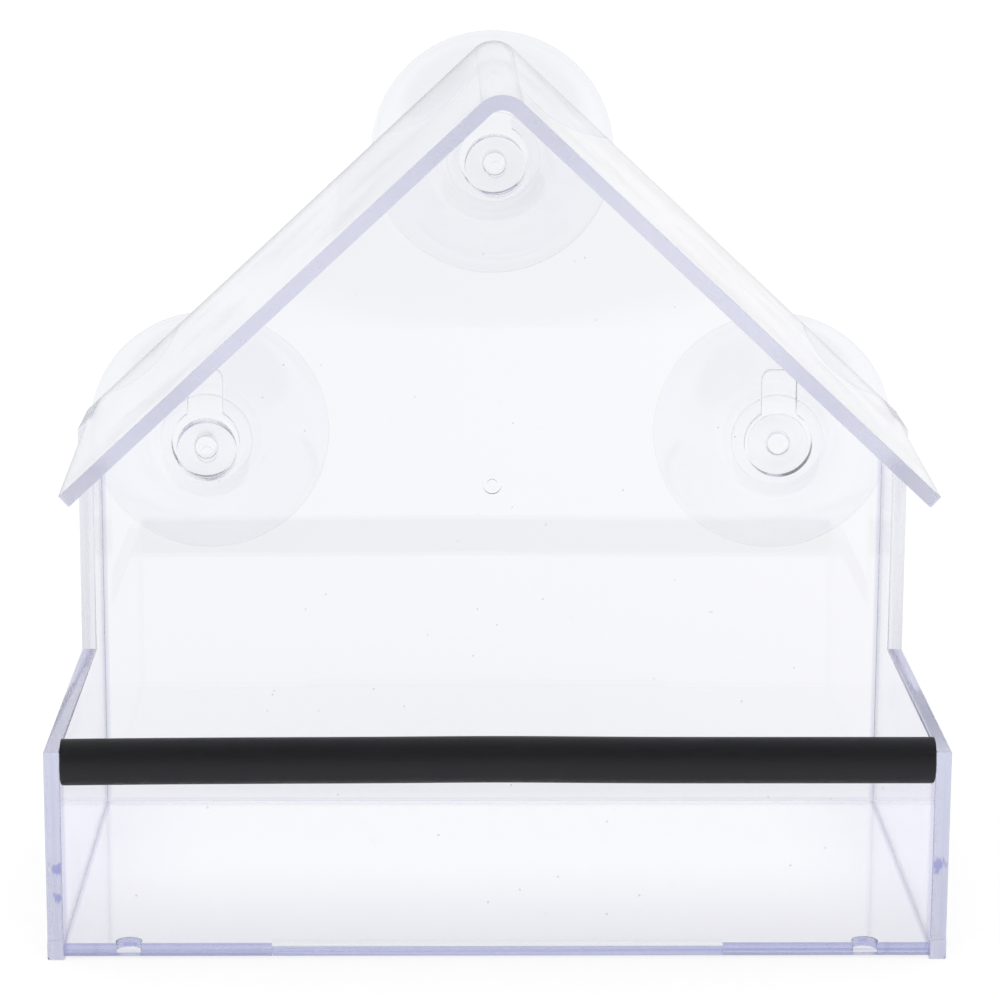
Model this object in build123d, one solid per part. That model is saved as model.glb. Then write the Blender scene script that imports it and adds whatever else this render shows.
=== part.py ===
from build123d import *
import math
import os

# Clear window feeder shaped like a small house. It is bonded from moulded panels,
# with a slit rubber tube on the front edge and three soft suction cups behind.
# Millimetres. +Z is up, +X is to the right seen from the front, +Y is to the back.

# Overall sizes of the house
width = 150.0
tray_depth = 84.8
tray_wall_height = 35.9
upright_setback = 66.1
side_wall = 2.65
back_wall = 2.65
front_wall = 2.65
floor_wall = 1.7
roof_wall = 2.4
bond_line = 0.05
ground_gap = 0.5
edge_round = 0.25

# Roof, one bent sheet. The ridge height is where its two outer faces would meet.
ridge_height = 146.9
roof_pitch = 43.1
ridge_bend_radius = 5.0
roof_overhang = 8.5
eave_inset_front = 4.3
eave_inset_back = 1.0
roof_corner_radius = 1.0

# Front panel, its tab joint with the floor and the feet of the side walls
front_drop = 0.5
floor_tab_width = 75.2
toe_height = 3.4
toe_forward = 0.5
toe_inward = 0.4
toe_round = 0.45

# Rain drains, two round notches where the floor meets the front panel
drain_radius = 2.15
drain_inset = 10.7
drain_setback = 0.8

# Suction cups, each one soft moulding: disc, boss, neck and mushroom head
cup_disc_radius = 22.5
cup_lip_thickness = 0.9
cup_lip_width = 2.6
cup_rim_bevel = 0.4
cup_skirt_sag = 0.4
cup_hollow_depth = 5.2
cup_boss_radius = 8.5
cup_boss_height = 3.0
cup_height = 11.1
cup_boss_round = 0.6
neck_radius = 2.9
head_radius = 5.75
head_thickness = 2.6
head_round = 1.1
head_nib_radius = 1.3
head_nib_height = 0.25
head_dimple_radius = 2.05
head_dimple_depth = 0.5
cup_side_play = 0.1

# Keyholes in the back panel and where the cups stand in them. Each neck hangs a
# little below the middle of its round hole.
neck_clearance = 0.3
head_clearance = 0.5
slot_travel = 10.6
slot_corner_radius = 1.8
lower_cup_spacing = 106.2
lower_cup_drop = 23.1
lower_neck_sag = 0.1
upper_cup_drop = 20.2
upper_neck_sag = 0.5

# Mark left by the moulding gate in the middle of the back panel
gate_height = 63.1
gate_radius = 1.75
gate_depth = 0.7
gate_nib_radius = 1.0
gate_nib_height = 0.45

# Perch strip, a slit rubber tube pushed over the top edge of the front panel
strip_radius = 3.85
strip_bore_radius = 2.0
strip_seat = 1.3
strip_end_gap = 0.2
strip_clearance = 0.05

# Every cut reaches this far past the face that it leaves through
overrun = 5.0

# Places worked out from the sizes above
pitch = math.radians(roof_pitch)
half_width = width / 2
inner_half = half_width - side_wall
overall_depth = roof_overhang + tray_depth + cup_side_play + cup_height
front_y = roof_overhang - overall_depth / 2
back_y = front_y + tray_depth
panel_y = back_y - back_wall
roof_front_y = front_y - roof_overhang
roof_depth = tray_depth + roof_overhang
floor_top = ground_gap + floor_wall
front_top = tray_wall_height - front_drop
under_ridge = ridge_height - roof_wall / math.cos(pitch)
inner_bend_radius = ridge_bend_radius - roof_wall
bend_length = ridge_bend_radius * math.tan(pitch)
lower_cup_x = lower_cup_spacing / 2
lower_cup_z = under_ridge - lower_cup_x * math.tan(pitch) - lower_cup_drop
upper_cup_z = under_ridge - upper_cup_drop
keyhole_radius = head_radius + head_clearance
slot_half = neck_radius + neck_clearance

CUPS = {
    "suction_cup_top": (0, upper_cup_z, upper_neck_sag),
    "suction_cup_left": (-lower_cup_x, lower_cup_z, lower_neck_sag),
    "suction_cup_right": (lower_cup_x, lower_cup_z, lower_neck_sag),
}


def block(low, high):
    """A box between two corners."""
    size = [b - a for a, b in zip(low, high)]
    middle = [(a + b) / 2 for a, b in zip(low, high)]
    return Pos(*middle) * Box(*size)


def along_y(face, start, length):
    """Extrudes an outline drawn in X and Z towards the back."""
    plane = Plane(origin=(0, start, 0), x_dir=(1, 0, 0), z_dir=(0, -1, 0))
    return extrude(plane * face, -length)


def space_over(apex, bend_radius, drop):
    """Everything above a pair of slopes that meet at the apex height, lowered by drop."""
    reach = width
    foot = apex - drop - reach * math.tan(pitch)
    line = FilletPolyline(
        (-reach, foot), (0, apex - drop), (reach, foot), radius=bend_radius
    )
    top = apex + reach
    lid = Polyline((reach, foot), (reach, top), (-reach, top), (-reach, foot))
    face = make_face(line.edges() + lid.edges())
    return along_y(face, roof_front_y - overrun, roof_depth + 2 * overrun)


def side_panel():
    """The right side wall: low along the tray, with an upright at the back and a toe."""
    low = block((inner_half, front_y, 0), (half_width, back_y, tray_wall_height))
    front_edges = low.edges().filter_by(Axis.Z).group_by(Axis.Y)[0]
    top_edges = low.edges().filter_by(Axis.Y).group_by(Axis.Z)[-1]
    low = fillet(front_edges + top_edges, edge_round)
    upright = block(
        (inner_half, front_y + upright_setback, 0), (half_width, back_y, ridge_height)
    )
    upright = fillet(upright.edges().filter_by(Axis.Z).group_by(Axis.Y)[0], edge_round)
    upright -= space_over(ridge_height, ridge_bend_radius, 0)
    toe = block(
        (inner_half - toe_inward, front_y - toe_forward, 0),
        (half_width, front_y, toe_height),
    )
    toe = fillet(toe.edges().filter_by(Axis.Y), toe_round)
    web = block((inner_half, front_y, 0), (half_width, front_y + edge_round, toe_height))
    return low + upright + toe + web


def floor_panel():
    """The tray floor, with a tab through the front panel and two drains."""
    reach = inner_half - bond_line
    sheet = block(
        (-reach, front_y + front_wall + bond_line, ground_gap),
        (reach, panel_y - bond_line, floor_top),
    )
    sheet += block(
        (-floor_tab_width / 2, front_y, ground_gap),
        (floor_tab_width / 2, panel_y - bond_line, floor_top),
    )
    for side in (-1, 1):
        place = Pos(
            side * (inner_half - drain_inset),
            front_y + front_wall + drain_setback,
            floor_top,
        )
        sheet -= place * Cylinder(drain_radius, floor_wall + 2 * overrun)
    return sheet


def front_panel():
    """The front wall of the tray, notched over the floor's tab."""
    reach = inner_half - bond_line
    sheet = block((-reach, front_y, ground_gap), (reach, front_y + front_wall, front_top))
    tab_reach = floor_tab_width / 2 + bond_line
    sheet -= block(
        (-tab_reach, front_y - overrun, ground_gap - overrun),
        (tab_reach, front_y + front_wall + overrun, floor_top + bond_line),
    )
    top_edges = sheet.edges().filter_by(Axis.X).group_by(Axis.Z)[-1]
    return fillet(top_edges, edge_round)


def keyhole(x, z, sag):
    """The opening for one cup: a round hole for the head, and a slot above it."""
    slot_top = z + slot_travel + slot_half
    hole = Pos(x, z + sag, 0) * Circle(keyhole_radius)
    slot = Pos(x, (z + slot_top) / 2, 0) * Rectangle(2 * slot_half, slot_top - z)
    corners = slot.vertices().group_by(Axis.Y)[-1]
    slot = fillet(corners, slot_corner_radius)
    return along_y(hole + slot, panel_y - overrun, back_wall + 2 * overrun)


def back_panel():
    """The gabled back, with three keyholes and the mark of the moulding gate."""
    reach = inner_half - bond_line
    sheet = block((-reach, panel_y, ground_gap), (reach, back_y, ridge_height))
    sheet -= space_over(under_ridge, inner_bend_radius, bond_line / math.cos(pitch))
    for x, z, sag in CUPS.values():
        sheet -= keyhole(x, z, sag)
    gate = Pos(0, gate_height, 0) * Circle(gate_radius)
    nib = Pos(0, gate_height, 0) * Circle(gate_nib_radius)
    sheet -= along_y(gate, panel_y - overrun, overrun + gate_depth)
    sheet += along_y(nib, panel_y + gate_depth - gate_nib_height, gate_nib_height)
    return sheet


def roof_leaf(side):
    """One slope of the roof, a flat sheet that narrows towards the front."""
    down = Vector(side * math.cos(pitch), 0, -math.sin(pitch))
    outward = Vector(side * math.sin(pitch), 0, math.cos(pitch))
    plane = Plane(origin=(0, roof_front_y, ridge_height), x_dir=down, z_dir=outward)
    front = (half_width - eave_inset_front) / math.cos(pitch)
    back = (half_width - eave_inset_back) / math.cos(pitch)
    outline = Polyline(
        (bend_length, 0),
        (front, 0),
        (back, side * roof_depth),
        (bend_length, side * roof_depth),
        close=True,
    )
    face = make_face(outline)
    face = fillet(face.vertices().sort_by(Axis.X)[-2:], roof_corner_radius)
    return extrude(plane * face, -roof_wall)


def roof():
    """Both slopes and the bend between them."""
    centre = ridge_height - ridge_bend_radius / math.cos(pitch)
    lean = ridge_bend_radius * math.sin(pitch), ridge_bend_radius * math.cos(pitch)
    thin = inner_bend_radius * math.sin(pitch), inner_bend_radius * math.cos(pitch)
    outer = ThreePointArc(
        (-lean[0], centre + lean[1]),
        (0, centre + ridge_bend_radius),
        (lean[0], centre + lean[1]),
    )
    inner = ThreePointArc(
        (-thin[0], centre + thin[1]),
        (0, centre + inner_bend_radius),
        (thin[0], centre + thin[1]),
    )
    ends = [Line(outer @ 0, inner @ 0), Line(outer @ 1, inner @ 1)]
    face = make_face([outer, inner] + ends)
    sheet = along_y(face, roof_front_y, roof_depth) + roof_leaf(-1) + roof_leaf(1)
    notch = inner_half - bond_line
    for side in (-1, 1):
        sheet -= block(
            (min(side * notch, side * width), front_y + upright_setback - bond_line, 0),
            (max(side * notch, side * width), back_y + overrun, ridge_height),
        )
    return sheet


def perch_strip():
    """The slit rubber tube on the front panel."""
    length = 2 * (inner_half - strip_end_gap)
    centre_y = front_y + front_wall / 2
    centre_z = front_top - strip_seat
    tube = Cylinder(strip_radius, length) - Cylinder(strip_bore_radius, length + overrun)
    tube = Pos(0, centre_y, centre_z) * Rot(0, 90, 0) * tube
    grip = front_wall / 2 + strip_clearance
    return tube - block(
        (-length, centre_y - grip, centre_z - strip_radius - overrun),
        (length, centre_y + grip, centre_z + strip_seat + strip_clearance),
    )


def suction_cup(x, z):
    """One soft cup, turned about its neck. Its outline runs from the rim to the head."""
    boss_start = cup_height - cup_boss_height
    neck_end = cup_height + back_wall + 2 * cup_side_play
    head_end = neck_end + head_thickness
    nib_end = head_end - head_dimple_depth + head_nib_height
    dimple_end = head_end - head_dimple_depth
    lip_start = cup_disc_radius - cup_lip_width
    rim_end = cup_lip_thickness - cup_rim_bevel
    skirt_middle = (
        (cup_boss_radius + lip_start) / 2,
        (boss_start + cup_lip_thickness) / 2 - cup_skirt_sag,
    )
    shoulder = (
        head_radius - head_round * (1 - math.sin(math.pi / 4)),
        head_end - head_round * (1 - math.cos(math.pi / 4)),
    )
    outline = [
        TangentArc((0, cup_hollow_depth), (lip_start, 0), tangent=(1, 0)),
        Polyline(
            (lip_start, 0),
            (cup_disc_radius, 0),
            (cup_disc_radius, rim_end),
            (lip_start, cup_lip_thickness),
        ),
        ThreePointArc(
            (lip_start, cup_lip_thickness),
            skirt_middle,
            (cup_boss_radius, boss_start),
        ),
        Polyline(
            (cup_boss_radius, boss_start),
            (cup_boss_radius, cup_height - cup_boss_round),
            (cup_boss_radius - cup_boss_round, cup_height),
            (neck_radius, cup_height),
            (neck_radius, neck_end),
            (head_radius, neck_end),
            (head_radius, head_end - head_round),
        ),
        ThreePointArc(
            (head_radius, head_end - head_round),
            shoulder,
            (head_radius - head_round, head_end),
        ),
        Polyline(
            (head_radius - head_round, head_end),
            (head_dimple_radius, head_end),
            (head_dimple_radius, dimple_end),
            (head_nib_radius, dimple_end),
            (head_nib_radius, nib_end),
            (0, nib_end),
            (0, cup_hollow_depth),
        ),
    ]
    profile = make_face([edge for stretch in outline for edge in stretch.edges()])
    rim_y = back_y + cup_side_play + cup_height
    plane = Plane(origin=(x, rim_y, z), x_dir=(1, 0, 0), z_dir=(0, 0, -1))
    return revolve(plane * profile, Axis((x, rim_y, z), (0, 1, 0)))


PARTS = {
    "back_panel": back_panel(),
    "left_side_wall": mirror(side_panel(), Plane.YZ),
    "right_side_wall": side_panel(),
    "tray_floor": floor_panel(),
    "front_panel": front_panel(),
    "roof_sheet": roof(),
    "perch_strip": perch_strip(),
}
for name, (cup_x, cup_z, _) in CUPS.items():
    PARTS[name] = suction_cup(cup_x, cup_z)

os.makedirs("parts", exist_ok=True)
for name, solid in PARTS.items():
    solid.label = name
    export_step(solid, f"parts/{name}.step")
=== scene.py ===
import math

import bmesh
import bpy
from mathutils import Matrix, Vector
from mathutils.bvhtree import BVHTree


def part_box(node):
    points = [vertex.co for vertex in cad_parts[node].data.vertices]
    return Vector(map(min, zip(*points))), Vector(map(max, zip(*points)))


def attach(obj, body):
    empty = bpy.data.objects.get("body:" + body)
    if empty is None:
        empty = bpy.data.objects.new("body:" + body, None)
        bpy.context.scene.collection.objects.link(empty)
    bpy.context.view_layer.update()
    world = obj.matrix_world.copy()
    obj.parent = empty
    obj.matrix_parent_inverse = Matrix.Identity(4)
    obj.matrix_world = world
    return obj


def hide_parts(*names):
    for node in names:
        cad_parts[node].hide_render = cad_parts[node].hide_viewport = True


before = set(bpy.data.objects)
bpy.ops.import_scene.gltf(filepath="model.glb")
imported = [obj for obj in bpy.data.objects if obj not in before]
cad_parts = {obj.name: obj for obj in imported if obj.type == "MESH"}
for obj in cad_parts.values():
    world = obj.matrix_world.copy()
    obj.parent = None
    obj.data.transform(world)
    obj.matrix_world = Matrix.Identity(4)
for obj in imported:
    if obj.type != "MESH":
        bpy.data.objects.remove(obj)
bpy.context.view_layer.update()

MM = 0.001
WHITE = (1, 1, 1, 1)

# Camera, as fitted to the photograph's straight edges
CAMERA_AT = (-9.746 * MM, -609.793 * MM, 204.224 * MM)
CAMERA_RIGHT = (0.9998571, -0.0162960, 0.0044960)
CAMERA_UP = (-0.00085485, 0.21687639, 0.97619870)
FOCAL_LENGTH_PIXELS = 3573.39
FRAME_PIXELS = 1000
SENSOR_WIDTH = 36
CAMERA_NEAR = 0.01

# Studio. Heights and depths of the dark side and the horizon are direction cosines.
WORLD_LIGHT = 0.9
BACKDROP_TONE = (0.93, 0.935, 0.955, 1)
HORIZON_TONE_LEFT = (0.88, 0.885, 0.915, 1)
HORIZON_TONE_RIGHT = (0.945, 0.945, 0.96, 1)
HORIZON_SIDE = 0.3
HORIZON_TOP = 0.1
HORIZON_FADE = 0.45
ROOM_TONE = (0.12, 0.12, 0.14, 1)
DARK_FROM_HEIGHT = 0.12
DARK_FULL_HEIGHT = 0.35
DARK_FROM_FRONT = 0.1
DARK_FULL_FRONT = -0.3
OPENING_TONE = (0.35, 0.35, 0.37, 1)
OPENING_TOWARDS = (0.016, -0.9998, 0)
OPENING_ANGLE = math.radians(9.8)
OPENING_BLUR = math.radians(0.35)
LIGHT_BOUNCES = 32

# Floor, in metres, and its tones as the sheets and reflections show them, with the
# places across and along it where they change. The tones are painted light and
# shade: a painted pool of light below the object, painted shade beside it, and
# dimmer tones in front, to the sides and behind.
FLOOR_WIDTH = 12.0
FLOOR_GAP = 0.0001
FLOOR_GLOW = 0.83
FLOOR_ALBEDO = 0.25
FLOOR_FRONT = -0.5
FLOOR_TONE_FRONT = (0.735, 0.735, 0.755, 1)
FLOOR_LIGHT_BELOW = (0.98, 0.98, 0.98, 1)
FLOOR_TONE_LEFT = (0.71, 0.72, 0.74, 1)
FLOOR_TONE_RIGHT = (0.75, 0.75, 0.76, 1)
FLOOR_SIDE = 0.2
FLOOR_TONE_BEHIND = (0.69, 0.69, 0.71, 1)
BRIGHT_FROM = -0.045
BRIGHT_FULL = 0.01
BRIGHT_TO = 0.036
BRIGHT_END = 0.055
SHADE_TONE = (0.84, 0.84, 0.90, 1)
SHADE_FROM = 0.05
SHADE_FULL = 0.085
FAR_FROM = 0.06
FAR_FULL = 0.1

# Suction cups. Depths run from the rim's plane towards the head. The disc's curve is
# drawn by two middle points: their radii are shares of the disc's, and their depths are
# shares of the lip's and of the boss's foot.
CUP_TURNS = 160
CUP_CURVE_STEPS = 40
DISC_RADIUS_SHARES = (0.75, 0.55)
DISC_LIP_SHARE = 1.2
DISC_FOOT_SHARE = 0.75
LIP_STEPS = 8
CORNER_STEPS = 8
TINY_CORNER_SHARE = 0.45
HOLLOW_SHARES = (0.75, 0.5, 0.25)
ON_AXIS = 1e-7
CUP_LIP = 0.5 * MM
CUP_HOLLOW = 5.8 * MM
CUP_HOLLOW_ROUND = 1.6 * MM
CUP_WALL = 1.35 * MM
CUP_SWAY = 0.3 * MM
CUP_SWAY_LOBES = 2
CUP_UNEVEN = 0.1 * MM
CUP_UNEVEN_LOBES = 3
CUP_BOSS_RADIUS = 8.5 * MM
CUP_BOSS_FACE = 11.1 * MM
CUP_BOSS_FOOT = 8.0 * MM
CUP_BOSS_FLARE = 1.0 * MM
CUP_BOSS_ROUND = 1.5 * MM
NECK_RADIUS = 1.95 * MM
NECK_ROUND = 0.5 * MM
HEAD_RADIUS = 5.55 * MM
HEAD_THICKNESS = 2.6 * MM
HEAD_FRONT_ROUND = 0.15 * MM
HEAD_BACK_ROUND = 0.15 * MM
HEAD_CROWN = 0.12 * MM
DIMPLE_RADIUS = 1.85 * MM
DIMPLE_DEPTH = 0.14 * MM
NIB_RADIUS = 1.1 * MM
NIB_HEIGHT = 0.08 * MM

# Meshes: what counts as one place, as flat, as a sharp edge and as a smooth one, how
# much large faces weigh in the shading, and the profile of every rounding
SAME_PLACE = 1e-6
FLAT_ANGLE = math.radians(0.3)
SHARP_ANGLE = math.radians(38)
SMOOTH_ANGLE = math.radians(30)
FLAT_WEIGHT = 100
ROUND_PROFILE = 0.5

# Rounding of the sheets' free edges, how near a neighbour is where one is glued on, and
# the gap left in front of the walls' toes
FREE_EDGE = 0.1 * MM
FREE_EDGE_STEPS = 3
JOINT_REACH = 0.2 * MM
TOE_GAP = 0.04 * MM

# Keyholes with a rough bottom, named by their cups; that bottom also takes the back's dark
# edge tint, which is painted shade. It reaches this far sideways and down from the cup's
# axis, and up to this height against the axis.
ROUGH_SHADED_KEYHOLES = ("suction_cup_top", "suction_cup_left")
KEYHOLE_REACH = 7 * MM
ROUGH_BELOW = -3.3 * MM

# Surfaces: waves and grain per metre, with their heights and roughness. The shares
# give the least and the most of a roughness.
ROUGHNESS_SHARES = (0.8, 1.2)
SHEET_IOR = 1.49
SHEET_BODY_TONE = (0.45, 0.48, 0.80, 1)
SHEET_WAVE = 60
SHEET_WAVE_HEIGHT = 0.006 * MM
SHEET_ROUGHNESS = 0.01
SHEET_HAZE = 0.04
HAZE_RANGE = (0.4, 0.7)
EDGE_GRAIN = 1500
EDGE_GRAIN_HEIGHT = 0.02 * MM
EDGE_ROUGHNESS = 0.28
# Streaks of tint along the cut edges are painted reflection lines: their scale and range
EDGE_STREAK = 800
STREAK_RANGE = (0.48, 0.6)
SPECK_CELLS = 180
SPECK_REACH = 0.24 * MM
SPECK_CORE_SHARE = 0.5
SPECK_TINT = (0.62, 0.60, 0.58, 1)
SOFT_IOR = 1.5
SOFT_TONE = (0.975, 0.98, 0.992, 1)
SOFT_WAVE = 220
SOFT_WAVE_DETAIL = 4
SOFT_WAVE_HEIGHT = 0.03 * MM
SOFT_ROUGHNESS = (0.07, 0.14)
TUBE_GRAIN = 2500
TUBE_GRAIN_HEIGHT = 0.01 * MM
TUBE_STRETCH = (0.15, 1, 1)
TUBE_ROUGHNESS = 0.5
TUBE_SPECULAR = 0.25
TUBE_TONES = ((0.011, 0.011, 0.013, 1), (0.018, 0.018, 0.022, 1))

# Perch strip. It rises a little in the middle and hangs lower towards its left end.
STRIP_STEP = 4 * MM
STRIP_END_ROUND = 0.4 * MM
STRIP_END_STEPS = 4
STRIP_OUTSIDE_SHARE = 0.98
STRIP_SMOOTH_ANGLE = math.radians(50)
DROOP_FROM = -20 * MM
DROOP = 0.3 * MM
STRIP_RISE = 0.17 * MM
STRIP_RISE_WIDTH = 18 * MM

# Each sheet, the way through its thickness and its kind
PANELS = {
    "back_panel": ((0, 1, 0), "back"),
    "left_side_wall": ((1, 0, 0), "wall"),
    "right_side_wall": ((1, 0, 0), "wall"),
    "tray_floor": ((0, 0, 1), "tray"),
    "front_panel": ((0, 1, 0), "tray"),
    "roof_sheet": (None, "roof"),
}

# Each kind of sheet: how the marks on its cut edges are stretched and how high they
# are against the full height, how deep its lavender is, and the tints of its faces, of
# its cut edges and of the streaks along them. The streaks are painted reflection lines.
KINDS = {
    "back": {
        "stretch": (1, 0.05, 1),
        "rise": 0.5,
        "density": 7.0,
        "face": (0.99, 0.99, 1.0, 1),
        # Painted shade: the dark edge and streak tints, which only the keyhole bottoms take
        "edge": (0.42, 0.42, 0.68, 1),
        "streak": (0.34, 0.34, 0.60, 1),
    },
    "wall": {
        "stretch": (1, 0.003, 0.003),
        "rise": 1.0,
        "density": 6.5,
        "face": (0.94, 0.94, 0.985, 1),
        "edge": (0.98, 0.98, 0.995, 1),
        "streak": (0.84, 0.84, 0.96, 1),
    },
    "tray": {
        "stretch": (0.003, 1.6, 1.6),
        "rise": 1.0,
        "density": 7.0,
        "face": (0.99, 0.99, 1.0, 1),
        "edge": (0.97, 0.97, 0.99, 1),
        "streak": (0.55, 0.58, 0.92, 1),
    },
    "roof": {
        "stretch": (0.05, 0.01, 0.05),
        "rise": 0.3,
        "density": 4.6,
        "face": (0.98, 0.98, 0.995, 1),
        "edge": (0.98, 0.98, 0.99, 1),
        "streak": (0.955, 0.955, 0.985, 1),
    },
}

# Film of glue beside the inner corners and along the foot of the back panel: its width
# and how far its edge fades
FILM_WIDTH = 0.5 * MM
FILM_FADE = 0.25 * MM
FOOT_FILM_WIDTH = 0.12 * MM
FOOT_FILM_FADE = 0.12 * MM
FILM_TINTS = {
    "back": (0.80, 0.81, 0.90, 1),
    "tray": (0.80, 0.80, 0.90, 1),
}

# Painted reflection lines along the floor's front edge, as they show through the front panel
REFLECTION_LINE_TINT = (0.81, 0.82, 0.955, 1)
LINE_REACH = 0.3 * MM

# Painted shade spots on the front edges of the walls, by the front joints: where they
# show and how far they reach
SHADE_SPOTS = [
    ((-73.1 * MM, -44.2 * MM, 15.6 * MM), 1.6 * MM),
    ((-72.9 * MM, -44.2 * MM, 10.9 * MM), 1.2 * MM),
    ((73.1 * MM, -44.2 * MM, 16.2 * MM), 1.7 * MM),
]
SHADE_SPOT_TINT = (0.36, 0.36, 0.76, 1)
SHADE_SPOT_FRAY = 1600
SHADE_SPOT_FRAY_STRETCH = (1, 1, 0.35)
SHADE_SPOT_FRAY_DETAIL = 4
SHADE_SPOT_FRAY_RANGE = (0.3, 0.7)
SHADE_SPOT_REACH_SHARES = (0.5, 1.4)
SHADE_SPOT_EDGE_RANGE = (1.1, 0.5)

# Finish of each face, written on the mesh, and how the sawn tops of the walls look
CUT_MARK = "cut_edge"
POLISHED = 0
CUT = 1
SAWN = 2
SAWN_ROUGHNESS = 0.18
SAWN_TINT = (0.91, 0.91, 0.99, 1)
SAWN_TINT_REAR = (0.72, 0.72, 0.93, 1)
REAR_FROM = -10 * MM
REAR_FULL = 20 * MM

# Direction cosines that tell a sheet's broad sides and the roof's slopes
BROAD_FACE = 0.98
SLOPE_FACE = 0.6

# Each cup: its body, where around its axis the disc bends most, and how far its head
# leans to the right and upwards
CUPS = {
    "suction_cup_top": ("top_cup", 0.4, (0.4 * MM, -0.85 * MM)),
    "suction_cup_left": ("left_cup", 2.2, (0.5 * MM, -1.1 * MM)),
    "suction_cup_right": ("right_cup", 4.1, (-0.45 * MM, 0.7 * MM)),
}


def new_material(name):
    """An empty node material and its tree."""
    material = bpy.data.materials.new(name)
    material.use_nodes = True
    tree = material.node_tree
    tree.nodes.clear()
    return material, tree


def noise_at(tree, scale, stretch=(1, 1, 1), detail=2):
    """Soft noise from 0 to 1 in the object's own coordinates."""
    place = tree.nodes.new("ShaderNodeTexCoord")
    mapping = tree.nodes.new("ShaderNodeMapping")
    mapping.inputs["Scale"].default_value = stretch
    tree.links.new(place.outputs["Object"], mapping.inputs["Vector"])
    noise = tree.nodes.new("ShaderNodeTexNoise")
    noise.inputs["Scale"].default_value = scale
    noise.inputs["Detail"].default_value = detail
    tree.links.new(mapping.outputs["Vector"], noise.inputs["Vector"])
    return noise.outputs["Fac"]


def raised(tree, height, distance):
    """A normal that follows a height of 0 to 1 over the distance."""
    bump = tree.nodes.new("ShaderNodeBump")
    bump.inputs["Strength"].default_value = 1
    bump.inputs["Distance"].default_value = distance
    tree.links.new(height, bump.inputs["Height"])
    return bump.outputs["Normal"]


def between(tree, share, first, second):
    """A number between two, each one a socket or a plain number."""
    node = tree.nodes.new("ShaderNodeMapRange")
    tree.links.new(share, node.inputs["Value"])
    for name, value in (("To Min", first), ("To Max", second)):
        if isinstance(value, (int, float)):
            node.inputs[name].default_value = value
        else:
            tree.links.new(value, node.inputs[name])
    return node.outputs[0]


def ramp(tree, value, start, end):
    """0 where the value is at its start, 1 where it is at its end, with eased ends."""
    node = tree.nodes.new("ShaderNodeMapRange")
    node.interpolation_type = "SMOOTHSTEP"
    node.inputs["From Min"].default_value = start
    node.inputs["From Max"].default_value = end
    tree.links.new(value, node.inputs["Value"])
    return node.outputs[0]


def reckon(tree, operation, *values):
    """The result of one operation on one or two sockets."""
    node = tree.nodes.new("ShaderNodeMath")
    node.operation = operation
    for value, socket in zip(values, node.inputs):
        tree.links.new(value, socket)
    return node.outputs[0]


def blend_tones(tree, share, first, second):
    """A colour between two, each one a socket or a plain colour."""
    node = tree.nodes.new("ShaderNodeMix")
    node.data_type = "RGBA"
    tree.links.new(share, node.inputs["Factor"])
    for name, tone in (("A", first), ("B", second)):
        if isinstance(tone, tuple):
            node.inputs[name].default_value = tone
        else:
            tree.links.new(tone, node.inputs[name])
    return node.outputs["Result"]


def own_place(tree):
    """The three coordinates of a point in the object's own frame."""
    place = tree.nodes.new("ShaderNodeTexCoord")
    split = tree.nodes.new("ShaderNodeSeparateXYZ")
    tree.links.new(place.outputs["Object"], split.inputs[0])
    return split.outputs


def spot(tree, place, reach, fray):
    """1 near a place of the object, and 0 beyond the reach, with a frayed edge."""
    here = tree.nodes.new("ShaderNodeTexCoord")
    away = tree.nodes.new("ShaderNodeVectorMath")
    away.operation = "DISTANCE"
    away.inputs[1].default_value = place
    tree.links.new(here.outputs["Object"], away.inputs[0])
    least, most = (reach * share for share in SHADE_SPOT_REACH_SHARES)
    edge = between(tree, ramp(tree, fray, *SHADE_SPOT_FRAY_RANGE), least, most)
    inside = reckon(tree, "DIVIDE", away.outputs["Value"], edge)
    return ramp(tree, inside, *SHADE_SPOT_EDGE_RANGE)


def specks(tree):
    """1 at a few tiny specks of dust and 0 elsewhere."""
    place = tree.nodes.new("ShaderNodeTexCoord")
    cells = tree.nodes.new("ShaderNodeTexVoronoi")
    cells.inputs["Scale"].default_value = SPECK_CELLS
    tree.links.new(place.outputs["Object"], cells.inputs["Vector"])
    reach = SPECK_REACH * SPECK_CELLS
    return ramp(tree, cells.outputs["Distance"], reach, reach * SPECK_CORE_SHARE)


def glue_film(tree, kind):
    """1 beside the inner corners where a sheet is glued to the next, else 0."""
    place = own_place(tree)
    sideways = reckon(tree, "ABSOLUTE", place["X"])
    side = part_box("tray_floor")[1][0] - FILM_WIDTH
    film = ramp(tree, sideways, side - FILM_FADE, side + FILM_FADE)
    if kind == "back":
        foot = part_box("tray_floor")[1][2] + FOOT_FILM_WIDTH
        near, far = foot - FOOT_FILM_FADE, foot + FOOT_FILM_FADE
        film = reckon(tree, "MAXIMUM", film, ramp(tree, place["Z"], far, near))
    return film


def front_lines(tree, streak):
    """The painted reflection streaks, but only along the floor's front edge."""
    place = own_place(tree)
    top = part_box("tray_floor")[1][2] - LINE_REACH
    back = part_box("front_panel")[1][1]
    low = ramp(tree, place["Z"], top + LINE_REACH, top)
    front = ramp(tree, place["Y"], back + LINE_REACH, back)
    return reckon(tree, "MULTIPLY", streak, reckon(tree, "MULTIPLY", low, front))


def rough_between(tree, share, roughness):
    """A roughness that varies about its middle value."""
    least, most = (roughness * part for part in ROUGHNESS_SHARES)
    return between(tree, share, least, most)


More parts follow.
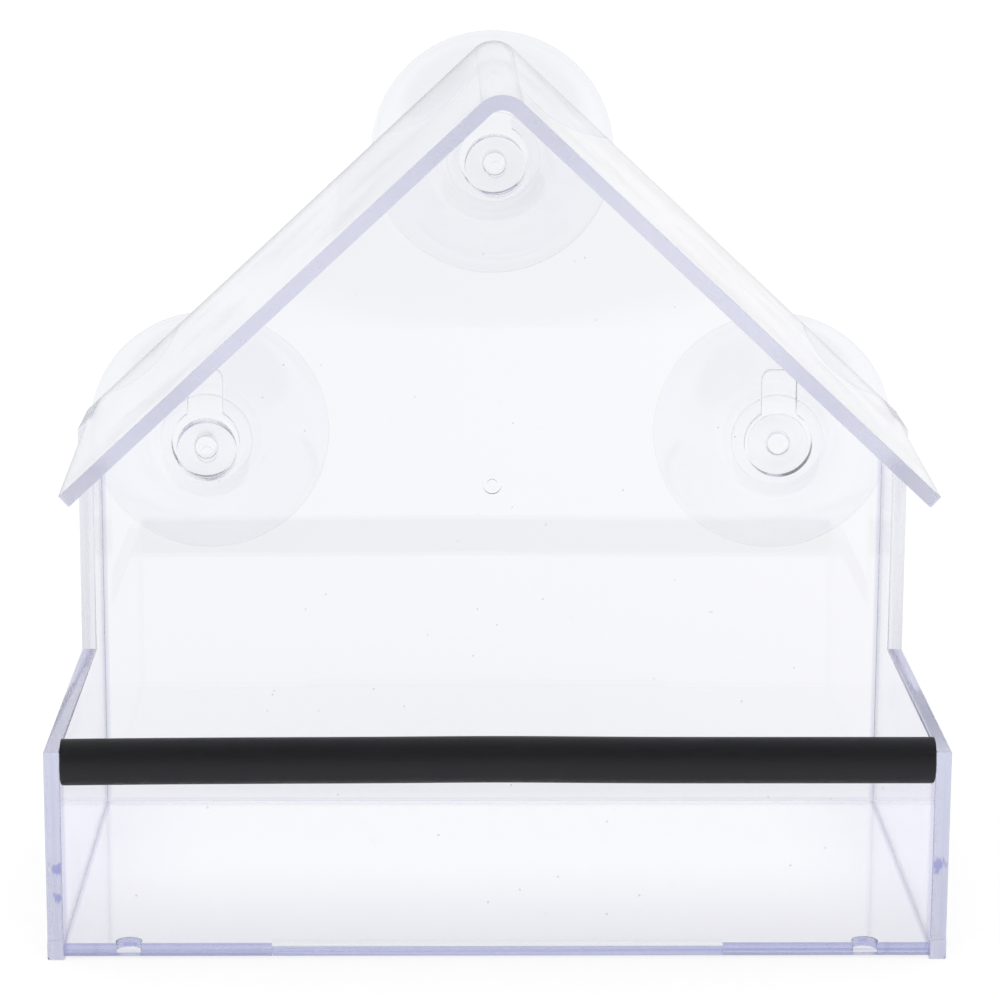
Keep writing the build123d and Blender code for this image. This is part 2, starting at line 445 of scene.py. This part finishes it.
def edge_tones(tree, kind, cut, streak):
    """The colour of a sheet's cut edges, with their painted reflection streaks and the spots
    of painted shade near the front joints.
    """
    edge = blend_tones(tree, streak, KINDS[kind]["edge"], KINDS[kind]["streak"])
    # Spots of painted shade near the front joints, with frayed edges
    fray = noise_at(tree, SHADE_SPOT_FRAY, SHADE_SPOT_FRAY_STRETCH, SHADE_SPOT_FRAY_DETAIL)
    for place, reach in SHADE_SPOTS:
        edge = blend_tones(tree, spot(tree, place, reach, fray), edge, SHADE_SPOT_TINT)
    if kind == "wall":
        rearward = ramp(tree, own_place(tree)["Y"], REAR_FROM, REAR_FULL)
        top = blend_tones(tree, rearward, SAWN_TINT, SAWN_TINT_REAR)
        edge = blend_tones(tree, rearward, edge, WHITE)
        edge = blend_tones(tree, ramp(tree, cut, CUT, SAWN), edge, top)
    return edge


def face_tones(tree, kind, streak):
    """The colour of a sheet's broad faces, with specks, glue film and painted reflection
    lines along the floor's front edge.
    """
    clean = blend_tones(tree, specks(tree), KINDS[kind]["face"], SPECK_TINT)
    if kind in FILM_TINTS:
        clean = blend_tones(tree, glue_film(tree, kind), clean, FILM_TINTS[kind])
    if kind == "tray":
        clean = blend_tones(tree, front_lines(tree, streak), clean, REFLECTION_LINE_TINT)
    return clean


def clear_panel_material(kind):
    """Clear moulded sheet, very slightly wavy and hazed, with duller cut edges whose
    marks run along the sheet. The lavender of its body shows along those edges."""
    stretch = KINDS[kind]["stretch"]
    material, tree = new_material("clear_" + kind)
    out = tree.nodes.new("ShaderNodeOutputMaterial")
    body = tree.nodes.new("ShaderNodeBsdfPrincipled")
    body.inputs["Transmission Weight"].default_value = 1
    body.inputs["IOR"].default_value = SHEET_IOR
    mark = tree.nodes.new("ShaderNodeAttribute")
    mark.attribute_name = CUT_MARK
    cut = mark.outputs["Fac"]
    cloud = noise_at(tree, SHEET_WAVE)
    marks = noise_at(tree, EDGE_GRAIN, stretch)

    haze = between(tree, ramp(tree, cloud, *HAZE_RANGE), SHEET_ROUGHNESS, SHEET_HAZE)
    dull = rough_between(tree, marks, EDGE_ROUGHNESS)
    dull = between(tree, ramp(tree, cut, CUT, SAWN), dull, SAWN_ROUGHNESS)
    tree.links.new(between(tree, cut, haze, dull), body.inputs["Roughness"])

    wave = between(tree, cloud, 0, SHEET_WAVE_HEIGHT / EDGE_GRAIN_HEIGHT)
    height = between(tree, cut, wave, between(tree, marks, 0, KINDS[kind]["rise"]))
    tree.links.new(raised(tree, height, EDGE_GRAIN_HEIGHT), body.inputs["Normal"])

    # Painted reflection: streaks of deeper tint along the cut edges and the floor's front
    # edge
    streak = ramp(tree, noise_at(tree, EDGE_STREAK, stretch), *STREAK_RANGE)
    edge = edge_tones(tree, kind, cut, streak)
    clean = face_tones(tree, kind, streak)
    tree.links.new(blend_tones(tree, cut, clean, edge), body.inputs["Base Color"])
    tree.links.new(body.outputs["BSDF"], out.inputs["Surface"])

    tint = tree.nodes.new("ShaderNodeVolumeAbsorption")
    tint.inputs["Color"].default_value = SHEET_BODY_TONE
    tint.inputs["Density"].default_value = KINDS[kind]["density"]
    tree.links.new(tint.outputs["Volume"], out.inputs["Volume"])
    return material


def clear_soft_material():
    """Soft clear vinyl of the suction cups, a little uneven."""
    material, tree = new_material("clear_soft")
    out = tree.nodes.new("ShaderNodeOutputMaterial")
    body = tree.nodes.new("ShaderNodeBsdfPrincipled")
    body.inputs["Base Color"].default_value = SOFT_TONE
    body.inputs["Transmission Weight"].default_value = 1
    body.inputs["IOR"].default_value = SOFT_IOR
    cloud = noise_at(tree, SOFT_WAVE, detail=SOFT_WAVE_DETAIL)
    tree.links.new(between(tree, cloud, *SOFT_ROUGHNESS), body.inputs["Roughness"])
    tree.links.new(raised(tree, cloud, SOFT_WAVE_HEIGHT), body.inputs["Normal"])
    tree.links.new(body.outputs["BSDF"], out.inputs["Surface"])
    return material


def strip_material():
    """Black soft tube, matt with a fine grain along its length."""
    material, tree = new_material("black_tube")
    out = tree.nodes.new("ShaderNodeOutputMaterial")
    body = tree.nodes.new("ShaderNodeBsdfPrincipled")
    body.inputs["Specular IOR Level"].default_value = TUBE_SPECULAR
    grain = noise_at(tree, TUBE_GRAIN, TUBE_STRETCH)
    tree.links.new(blend_tones(tree, grain, *TUBE_TONES), body.inputs["Base Color"])
    dull = rough_between(tree, grain, TUBE_ROUGHNESS)
    tree.links.new(dull, body.inputs["Roughness"])
    tree.links.new(raised(tree, grain, TUBE_GRAIN_HEIGHT), body.inputs["Normal"])
    tree.links.new(body.outputs["BSDF"], out.inputs["Surface"])
    return material


def paint(piece, material):
    """Gives the whole piece one material."""
    piece.data.materials.clear()
    piece.data.materials.append(material)


def solid_tree(nodes):
    """One search tree over several CAD nodes."""
    mesh = bmesh.new()
    for name in nodes:
        mesh.from_mesh(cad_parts[name].data)
    tree = BVHTree.FromBMesh(mesh)
    mesh.free()
    return tree


def smooth(mesh, angle=SMOOTH_ANGLE):
    """Smooth shading, but for edges sharper than the angle."""
    mesh.shade_smooth()
    mesh.set_sharp_from_angle(angle=angle)


def keep_flats_flat(piece):
    """Large faces keep their own normals, and the narrow faces beside them blend in."""
    weights = piece.modifiers.new("weights", "WEIGHTED_NORMAL")
    weights.mode = "FACE_AREA"
    weights.weight = FLAT_WEIGHT
    weights.keep_sharp = True


def is_broad(face, thickness):
    """Whether a face is one of the sheet's two large sides."""
    if thickness:
        return abs(face.normal.dot(Vector(thickness))) > BROAD_FACE
    return abs(face.normal.y) < 1 - BROAD_FACE and abs(face.normal.z) > SLOPE_FACE


def box_middle(node):
    """The middle of a node's box."""
    low, high = (Vector(corner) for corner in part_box(node))
    return (low + high) / 2


def in_keyhole(point, keyholes):
    """Whether a point of the back panel lies at the rough bottom of a keyhole, which is
    painted dark as shade.
    """
    for keyhole in keyholes:
        away = point - keyhole
        if abs(away.x) < KEYHOLE_REACH and -KEYHOLE_REACH < away.z < ROUGH_BELOW:
            return True
    return False


def part_from_front(shape):
    """Leaves a hair's breadth between the toes of a side wall and the front panel. The
    toes start at the wall's inner face, where the floor's side is glued on."""
    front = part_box("front_panel")[0][1]
    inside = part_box("tray_floor")[1][0] + JOINT_REACH / 2
    for vert in shape.verts:
        if abs(vert.co.y - front) < SAME_PLACE and abs(vert.co.x) < inside:
            vert.co.y -= TOE_GAP


def clean_shape(node):
    """A CAD node's mesh, without doubled points or needless edges on its flats."""
    shape = bmesh.new()
    shape.from_mesh(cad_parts[node].data)
    bmesh.ops.remove_doubles(shape, verts=shape.verts, dist=SAME_PLACE)
    bmesh.ops.dissolve_limit(
        shape,
        angle_limit=FLAT_ANGLE,
        verts=shape.verts,
        edges=shape.edges,
    )
    return shape


def round_edges(shape, edges, radius, steps):
    """Rounds the given edges."""
    bmesh.ops.bevel(
        shape,
        geom=edges,
        offset=radius,
        offset_type="OFFSET",
        segments=steps,
        profile=ROUND_PROFILE,
        affect="EDGES",
        clamp_overlap=False,
    )


def linked_piece(shape, name):
    """A new object of the scene, made of the shape, which is used up."""
    mesh = bpy.data.meshes.new(name)
    shape.to_mesh(mesh)
    shape.free()
    piece = bpy.data.objects.new(name, mesh)
    bpy.context.scene.collection.objects.link(piece)
    return piece


def is_glued(point, others):
    """Whether a neighbour lies within a joint's reach of the point."""
    return others.find_nearest(point, JOINT_REACH)[0] is not None


def free_edges(shape, others):
    """The sharp outward edges that touch no neighbour."""
    found = []
    for edge in shape.edges:
        if len(edge.link_faces) != 2 or edge.calc_face_angle() < SHARP_ANGLE:
            continue
        middle = (edge.verts[0].co + edge.verts[1].co) / 2
        if edge.is_convex and not is_glued(middle, others):
            found.append(edge)
    return found


def mark_faces(shape, node, others):
    """Writes on each face whether it is polished, cut or sawn."""
    thickness, kind = PANELS[node]
    keyholes = [box_middle(name) for name in ROUGH_SHADED_KEYHOLES]
    mark = shape.faces.layers.float.new(CUT_MARK)
    for face in shape.faces:
        middle = face.calc_center_median()
        if is_glued(middle, others) or is_broad(face, thickness):
            face[mark] = POLISHED
        elif kind == "back":
            # Keyhole bottoms are cut faces, so they take the dark edge tint of painted shade
            face[mark] = CUT if in_keyhole(middle, keyholes) else POLISHED
        elif kind == "wall" and face.normal.z > BROAD_FACE:
            face[mark] = SAWN
        else:
            face[mark] = CUT


def finished_panel(node, material):
    """A sheet with its cut edges marked, and rounded where they touch no neighbour.
    Where they are glued to one they are clear."""
    others = solid_tree([name for name in PANELS if name != node])
    shape = clean_shape(node)
    if PANELS[node][1] == "wall":
        part_from_front(shape)
    round_edges(shape, free_edges(shape, others), FREE_EDGE, FREE_EDGE_STEPS)
    shape.normal_update()
    mark_faces(shape, node, others)
    piece = linked_piece(shape, node + "_finished")
    smooth(piece.data)
    keep_flats_flat(piece)
    paint(piece, material)
    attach(piece, "feeder")
    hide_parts(node)


def curve_points(points, steps):
    """Points along a Bezier curve of any order, without its first point."""
    found = []
    for step in range(1, steps + 1):
        level = [Vector(point) for point in points]
        while len(level) > 1:
            level = [a.lerp(b, step / steps) for a, b in zip(level, level[1:])]
        found.append(level[0])
    return found


def rounded(points, radii, steps=CORNER_STEPS):
    """A line through the points with each corner turned in an arc-like curve."""
    line = [Vector(points[0])]
    for before, corner, after, radius in zip(points, points[1:], points[2:], radii):
        corner = Vector(corner)
        if radius == 0:
            line.append(corner)
            continue
        into = (Vector(before) - corner).normalized()
        onward = (Vector(after) - corner).normalized()
        cut = radius / math.tan(into.angle(onward) / 2)
        start = corner + into * cut
        end = corner + onward * cut
        line.append(start)
        line += curve_points([start, corner, end], steps)
    line.append(Vector(points[-1]))
    return line


def strip_ends(shape, low, high):
    """The outer edges around the tube's two ends."""
    middle = (low + high) / 2
    outside = (high.y - low.y) / 2 * STRIP_OUTSIDE_SHARE
    found = []
    for edge in shape.edges:
        first, second = (vert.co for vert in edge.verts)
        from_end = min(first.x - low.x, high.x - first.x)
        if abs(first.x - second.x) > SAME_PLACE or from_end > SAME_PLACE:
            continue
        reaches = [math.hypot(at.y - middle.y, at.z - middle.z) for at in (first, second)]
        if min(reaches) > outside:
            found.append(edge)
    return found


def cut_across(shape, low, high):
    """Cuts the tube's long faces at even steps, so that it can bend."""
    cut = low.x + STRIP_STEP
    while cut < high.x - STRIP_STEP / 2:
        bmesh.ops.bisect_plane(
            shape,
            geom=shape.verts[:] + shape.edges[:] + shape.faces[:],
            plane_co=(cut, 0, 0),
            plane_no=(1, 0, 0),
        )
        cut += STRIP_STEP


def perch_strip(material):
    """The slit tube, with softened ends and not quite straight."""
    low, high = (Vector(corner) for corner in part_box("perch_strip"))
    shape = clean_shape("perch_strip")
    round_edges(shape, strip_ends(shape, low, high), STRIP_END_ROUND, STRIP_END_STEPS)
    cut_across(shape, low, high)
    for vert in shape.verts:
        left = max(DROOP_FROM - vert.co.x, 0) / (DROOP_FROM - low.x)
        rise = STRIP_RISE * math.exp(-((vert.co.x / STRIP_RISE_WIDTH) ** 2))
        vert.co.z += rise - DROOP * left * left
    piece = linked_piece(shape, "perch_strip_tube")
    smooth(piece.data, STRIP_SMOOTH_ANGLE)
    paint(piece, material)
    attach(piece, "feeder")
    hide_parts("perch_strip")


def soft_least(first, second, width):
    """The lesser of two numbers, with the change from one to the other rounded."""
    share = min(max(0.5 + 0.5 * (second - first) / width, 0), 1)
    return second + (first - second) * share - width * share * (1 - share)


def cup_outline(disc_radius, height):
    """Half the section of a suction cup, as pairs of radius and depth, and how many of
    them are in its hollow."""
    lip = CUP_LIP / 2
    rim = disc_radius - lip
    head_back = height - HEAD_THICKNESS
    dimple = height - DIMPLE_DEPTH
    outside = [(rim, CUP_LIP)]
    outside += curve_points(
        [
            (rim, CUP_LIP),
            (disc_radius * DISC_RADIUS_SHARES[0], CUP_LIP * DISC_LIP_SHARE),
            (disc_radius * DISC_RADIUS_SHARES[1], CUP_BOSS_FOOT * DISC_FOOT_SHARE),
            (CUP_BOSS_RADIUS + CUP_BOSS_FLARE, CUP_BOSS_FOOT),
        ],
        CUP_CURVE_STEPS,
    )
    front = rounded(
        [
            (CUP_BOSS_RADIUS + CUP_BOSS_FLARE, CUP_BOSS_FOOT),
            (CUP_BOSS_RADIUS, CUP_BOSS_FOOT + CUP_BOSS_FLARE),
            (CUP_BOSS_RADIUS, CUP_BOSS_FACE),
            (NECK_RADIUS, CUP_BOSS_FACE),
            (NECK_RADIUS, head_back),
            (HEAD_RADIUS, head_back),
            (HEAD_RADIUS, height - HEAD_CROWN),
            (DIMPLE_RADIUS, height),
            (DIMPLE_RADIUS, dimple),
            (NIB_RADIUS, dimple),
            (NIB_RADIUS, dimple + NIB_HEIGHT),
            (0, dimple + NIB_HEIGHT),
        ],
        [
            CUP_BOSS_ROUND,
            CUP_BOSS_ROUND,
            NECK_ROUND,
            NECK_ROUND,
            HEAD_BACK_ROUND,
            HEAD_FRONT_ROUND,
            DIMPLE_DEPTH * TINY_CORNER_SHARE,
            DIMPLE_DEPTH * TINY_CORNER_SHARE,
            NIB_HEIGHT * TINY_CORNER_SHARE,
            NIB_HEIGHT * TINY_CORNER_SHARE,
        ],
    )
    hollow = [(rim, 0)]
    for radius, depth in outside[1:]:
        inward = (rim - radius) / (rim - CUP_BOSS_RADIUS)
        wall = CUP_LIP + (CUP_WALL - CUP_LIP) * inward
        hollow.append((radius, soft_least(depth - wall, CUP_HOLLOW, CUP_HOLLOW_ROUND)))
    hollow += [(CUP_BOSS_RADIUS * share, CUP_HOLLOW) for share in HOLLOW_SHARES]
    edge = [
        (rim + lip * math.sin(turn), lip - lip * math.cos(turn))
        for turn in [math.pi * step / LIP_STEPS for step in range(1, LIP_STEPS)]
    ]
    inside = [(0, CUP_HOLLOW)] + hollow[::-1]
    return inside + edge + outside + front[1:], len(inside)


def share_between(value, start, end):
    """0 up to the start, 1 from the end on, and even in between."""
    return min(max((value - start) / (end - start), 0), 1)


def skin(shape, rings):
    """Faces between each ring of points and the next. A ring of one point is a tip."""
    for first, second in zip(rings, rings[1:]):
        for turn in range(CUP_TURNS):
            after = (turn + 1) % CUP_TURNS
            corners = [
                first[turn % len(first)],
                first[after % len(first)],
                second[after % len(second)],
                second[turn % len(second)],
            ]
            corners = list(dict.fromkeys(corners))
            if len(corners) > 2:
                shape.faces.new(corners)
    bmesh.ops.recalc_face_normals(shape, faces=shape.faces)


def suction_cup(node, body, start, lean, material):
    """A soft cup, turned about its own axis. Its rim is at the back, its disc is not
    quite even, and its head leans a little."""
    low, high = (Vector(corner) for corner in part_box(node))
    middle = box_middle(node)
    disc_radius = (high.x - low.x) / 2
    height = high.y - low.y
    outline, in_hollow = cup_outline(disc_radius, height)
    shape = bmesh.new()
    rings = []
    for place, (radius, depth) in enumerate(outline):
        if radius < ON_AXIS:
            side, up = (0, 0) if depth < CUP_BOSS_FACE else lean
            rings.append([shape.verts.new((middle.x + side, high.y - depth, middle.z + up))])
            continue
        out = share_between(radius, disc_radius, CUP_BOSS_RADIUS)
        bend = math.sin(math.pi * out) ** 2
        forward = share_between(depth, CUP_BOSS_FACE, height)
        ring = []
        for turn in range(CUP_TURNS):
            angle = 2 * math.pi * turn / CUP_TURNS
            sway = CUP_SWAY * bend * math.cos(CUP_SWAY_LOBES * angle + start)
            if place < in_hollow:
                uneven = math.cos(CUP_UNEVEN_LOBES * angle + 2 * start)
                sway += CUP_UNEVEN * bend * uneven
            x = middle.x + radius * math.cos(angle) + forward * lean[0]
            z = middle.z + radius * math.sin(angle) + forward * lean[1]
            ring.append(shape.verts.new((x, min(high.y - depth - sway, high.y), z)))
        rings.append(ring)
    skin(shape, rings)
    piece = linked_piece(shape, node + "_moulding")
    piece.data.shade_smooth()
    paint(piece, material)
    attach(piece, body)
    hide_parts(node)


def ray_kinds(tree):
    """Two sockets: 1 for a ray straight from the camera, and 1 for a ray that was
    reflected or has passed through something clear."""
    path = tree.nodes.new("ShaderNodeLightPath")
    glossy = path.outputs["Is Glossy Ray"]
    either = reckon(tree, "MAXIMUM", glossy, path.outputs["Is Transmission Ray"])
    return path.outputs["Is Camera Ray"], either


def backdrop():
    """A white studio. Reflections and views through the sheet also find its dimmer
    horizon, its dark side high up behind the camera and the round front opening."""
    world = bpy.data.worlds.new("studio")
    bpy.context.scene.world = world
    world.use_nodes = True
    tree = world.node_tree
    tree.nodes.clear()
    link = tree.links.new
    out = tree.nodes.new("ShaderNodeOutputWorld")
    direction = tree.nodes.new("ShaderNodeTexCoord")
    split = tree.nodes.new("ShaderNodeSeparateXYZ")
    link(direction.outputs["Generated"], split.inputs[0])
    upward = split.outputs["Z"]
    backward = split.outputs["Y"]

    high = ramp(tree, upward, DARK_FROM_HEIGHT, DARK_FULL_HEIGHT)
    front = ramp(tree, backward, DARK_FROM_FRONT, DARK_FULL_FRONT)
    over_horizon = ramp(tree, upward, HORIZON_TOP, HORIZON_FADE)
    rightward = ramp(tree, split.outputs["X"], -HORIZON_SIDE, HORIZON_SIDE)
    tone = blend_tones(tree, rightward, HORIZON_TONE_LEFT, HORIZON_TONE_RIGHT)
    tone = blend_tones(tree, over_horizon, tone, BACKDROP_TONE)
    high_in_front = reckon(tree, "MULTIPLY", high, front)
    tone = blend_tones(tree, high_in_front, tone, ROOM_TONE)
    towards = tree.nodes.new("ShaderNodeVectorMath")
    towards.operation = "DOT_PRODUCT"
    towards.inputs[1].default_value = OPENING_TOWARDS
    link(direction.outputs["Generated"], towards.inputs[0])
    inside = ramp(
        tree,
        towards.outputs["Value"],
        math.cos(OPENING_ANGLE + OPENING_BLUR),
        math.cos(OPENING_ANGLE - OPENING_BLUR),
    )
    tone = blend_tones(tree, inside, tone, OPENING_TONE)

    lamp = tree.nodes.new("ShaderNodeBackground")
    lamp.inputs["Color"].default_value = WHITE
    lamp.inputs["Strength"].default_value = WORLD_LIGHT
    white = tree.nodes.new("ShaderNodeBackground")
    white.inputs["Color"].default_value = WHITE
    white.inputs["Strength"].default_value = 1
    room = tree.nodes.new("ShaderNodeBackground")
    room.inputs["Strength"].default_value = 1
    link(tone, room.inputs["Color"])

    camera_ray, other = ray_kinds(tree)
    through = tree.nodes.new("ShaderNodeMixShader")
    link(other, through.inputs[0])
    link(lamp.outputs[0], through.inputs[1])
    link(room.outputs[0], through.inputs[2])
    final = tree.nodes.new("ShaderNodeMixShader")
    link(camera_ray, final.inputs[0])
    link(through.outputs[0], final.inputs[1])
    link(white.outputs[0], final.inputs[2])
    link(final.outputs[0], out.inputs["Surface"])


def floor():
    """A plain white floor. It glows as the backdrop does and keeps a soft shadow. The
    sheets, in reflections and views through them, show painted light and shade on it:
    a painted pool of light below the object, painted shade beside it and dimmer
    tones further off."""
    mesh = bpy.data.meshes.new("floor")
    half = FLOOR_WIDTH / 2
    corners = [(-half, FLOOR_FRONT), (half, FLOOR_FRONT), (half, half), (-half, half)]
    mesh.from_pydata([(x, y, 0) for x, y in corners], [], [(0, 1, 2, 3)])
    piece = bpy.data.objects.new("floor", mesh)
    bpy.context.scene.collection.objects.link(piece)
    piece.location.z = -FLOOR_GAP
    material, tree = new_material("floor_white")
    link = tree.links.new
    out = tree.nodes.new("ShaderNodeOutputMaterial")
    matt = tree.nodes.new("ShaderNodeBsdfDiffuse")
    matt.inputs["Color"].default_value = (FLOOR_ALBEDO, FLOOR_ALBEDO, FLOOR_ALBEDO, 1)

    place = own_place(tree)
    # Painted light and shade: bright below the object, shade beside it, dimmer further off
    rightward = ramp(tree, place["X"], -FLOOR_SIDE, FLOOR_SIDE)
    under = ramp(tree, place["Y"], BRIGHT_FROM, BRIGHT_FULL)
    behind = ramp(tree, place["Y"], BRIGHT_TO, BRIGHT_END)
    sideways = reckon(tree, "ABSOLUTE", place["X"])
    beside = ramp(tree, sideways, SHADE_FROM, SHADE_FULL)
    below = blend_tones(tree, beside, FLOOR_LIGHT_BELOW, SHADE_TONE)
    near = blend_tones(tree, under, FLOOR_TONE_FRONT, below)
    far = blend_tones(tree, rightward, FLOOR_TONE_LEFT, FLOOR_TONE_RIGHT)
    distance = ramp(tree, place["Y"], FAR_FROM, FAR_FULL)
    far = blend_tones(tree, distance, FLOOR_TONE_BEHIND, far)
    tone = blend_tones(tree, behind, near, far)

    shown = tree.nodes.new("ShaderNodeEmission")
    shown.inputs["Strength"].default_value = FLOOR_GLOW
    seen = tree.nodes.new("ShaderNodeEmission")
    seen.inputs["Strength"].default_value = 1
    link(tone, seen.inputs["Color"])
    camera_ray, other = ray_kinds(tree)
    pick = tree.nodes.new("ShaderNodeMixShader")
    link(other, pick.inputs[0])
    link(shown.outputs[0], pick.inputs[1])
    link(seen.outputs[0], pick.inputs[2])
    add = tree.nodes.new("ShaderNodeAddShader")
    link(pick.outputs[0], add.inputs[0])
    link(matt.outputs[0], add.inputs[1])
    link(add.outputs[0], out.inputs["Surface"])
    paint(piece, material)


def camera():
    """The photograph's viewpoint."""
    data = bpy.data.cameras.new("camera")
    data.sensor_width = SENSOR_WIDTH
    data.lens = FOCAL_LENGTH_PIXELS / FRAME_PIXELS * SENSOR_WIDTH
    data.clip_start = CAMERA_NEAR
    piece = bpy.data.objects.new("camera", data)
    bpy.context.scene.collection.objects.link(piece)
    right = Vector(CAMERA_RIGHT).normalized()
    up = Vector(CAMERA_UP)
    back = right.cross(up).normalized()
    up = back.cross(right)
    turn = Matrix((right, up, back)).transposed().to_4x4()
    piece.matrix_world = Matrix.Translation(CAMERA_AT) @ turn
    bpy.context.scene.camera = piece


sheets = {kind: clear_panel_material(kind) for kind in KINDS}
for name, (_, kind) in PANELS.items():
    finished_panel(name, sheets[kind])
soft = clear_soft_material()
for name, (body, start, lean) in CUPS.items():
    suction_cup(name, body, start, lean, soft)
perch_strip(strip_material())

backdrop()
floor()
camera()

scene = bpy.context.scene
scene.view_settings.view_transform = "Standard"
scene.cycles.max_bounces = LIGHT_BOUNCES
scene.cycles.transmission_bounces = LIGHT_BOUNCES
scene.cycles.glossy_bounces = LIGHT_BOUNCES
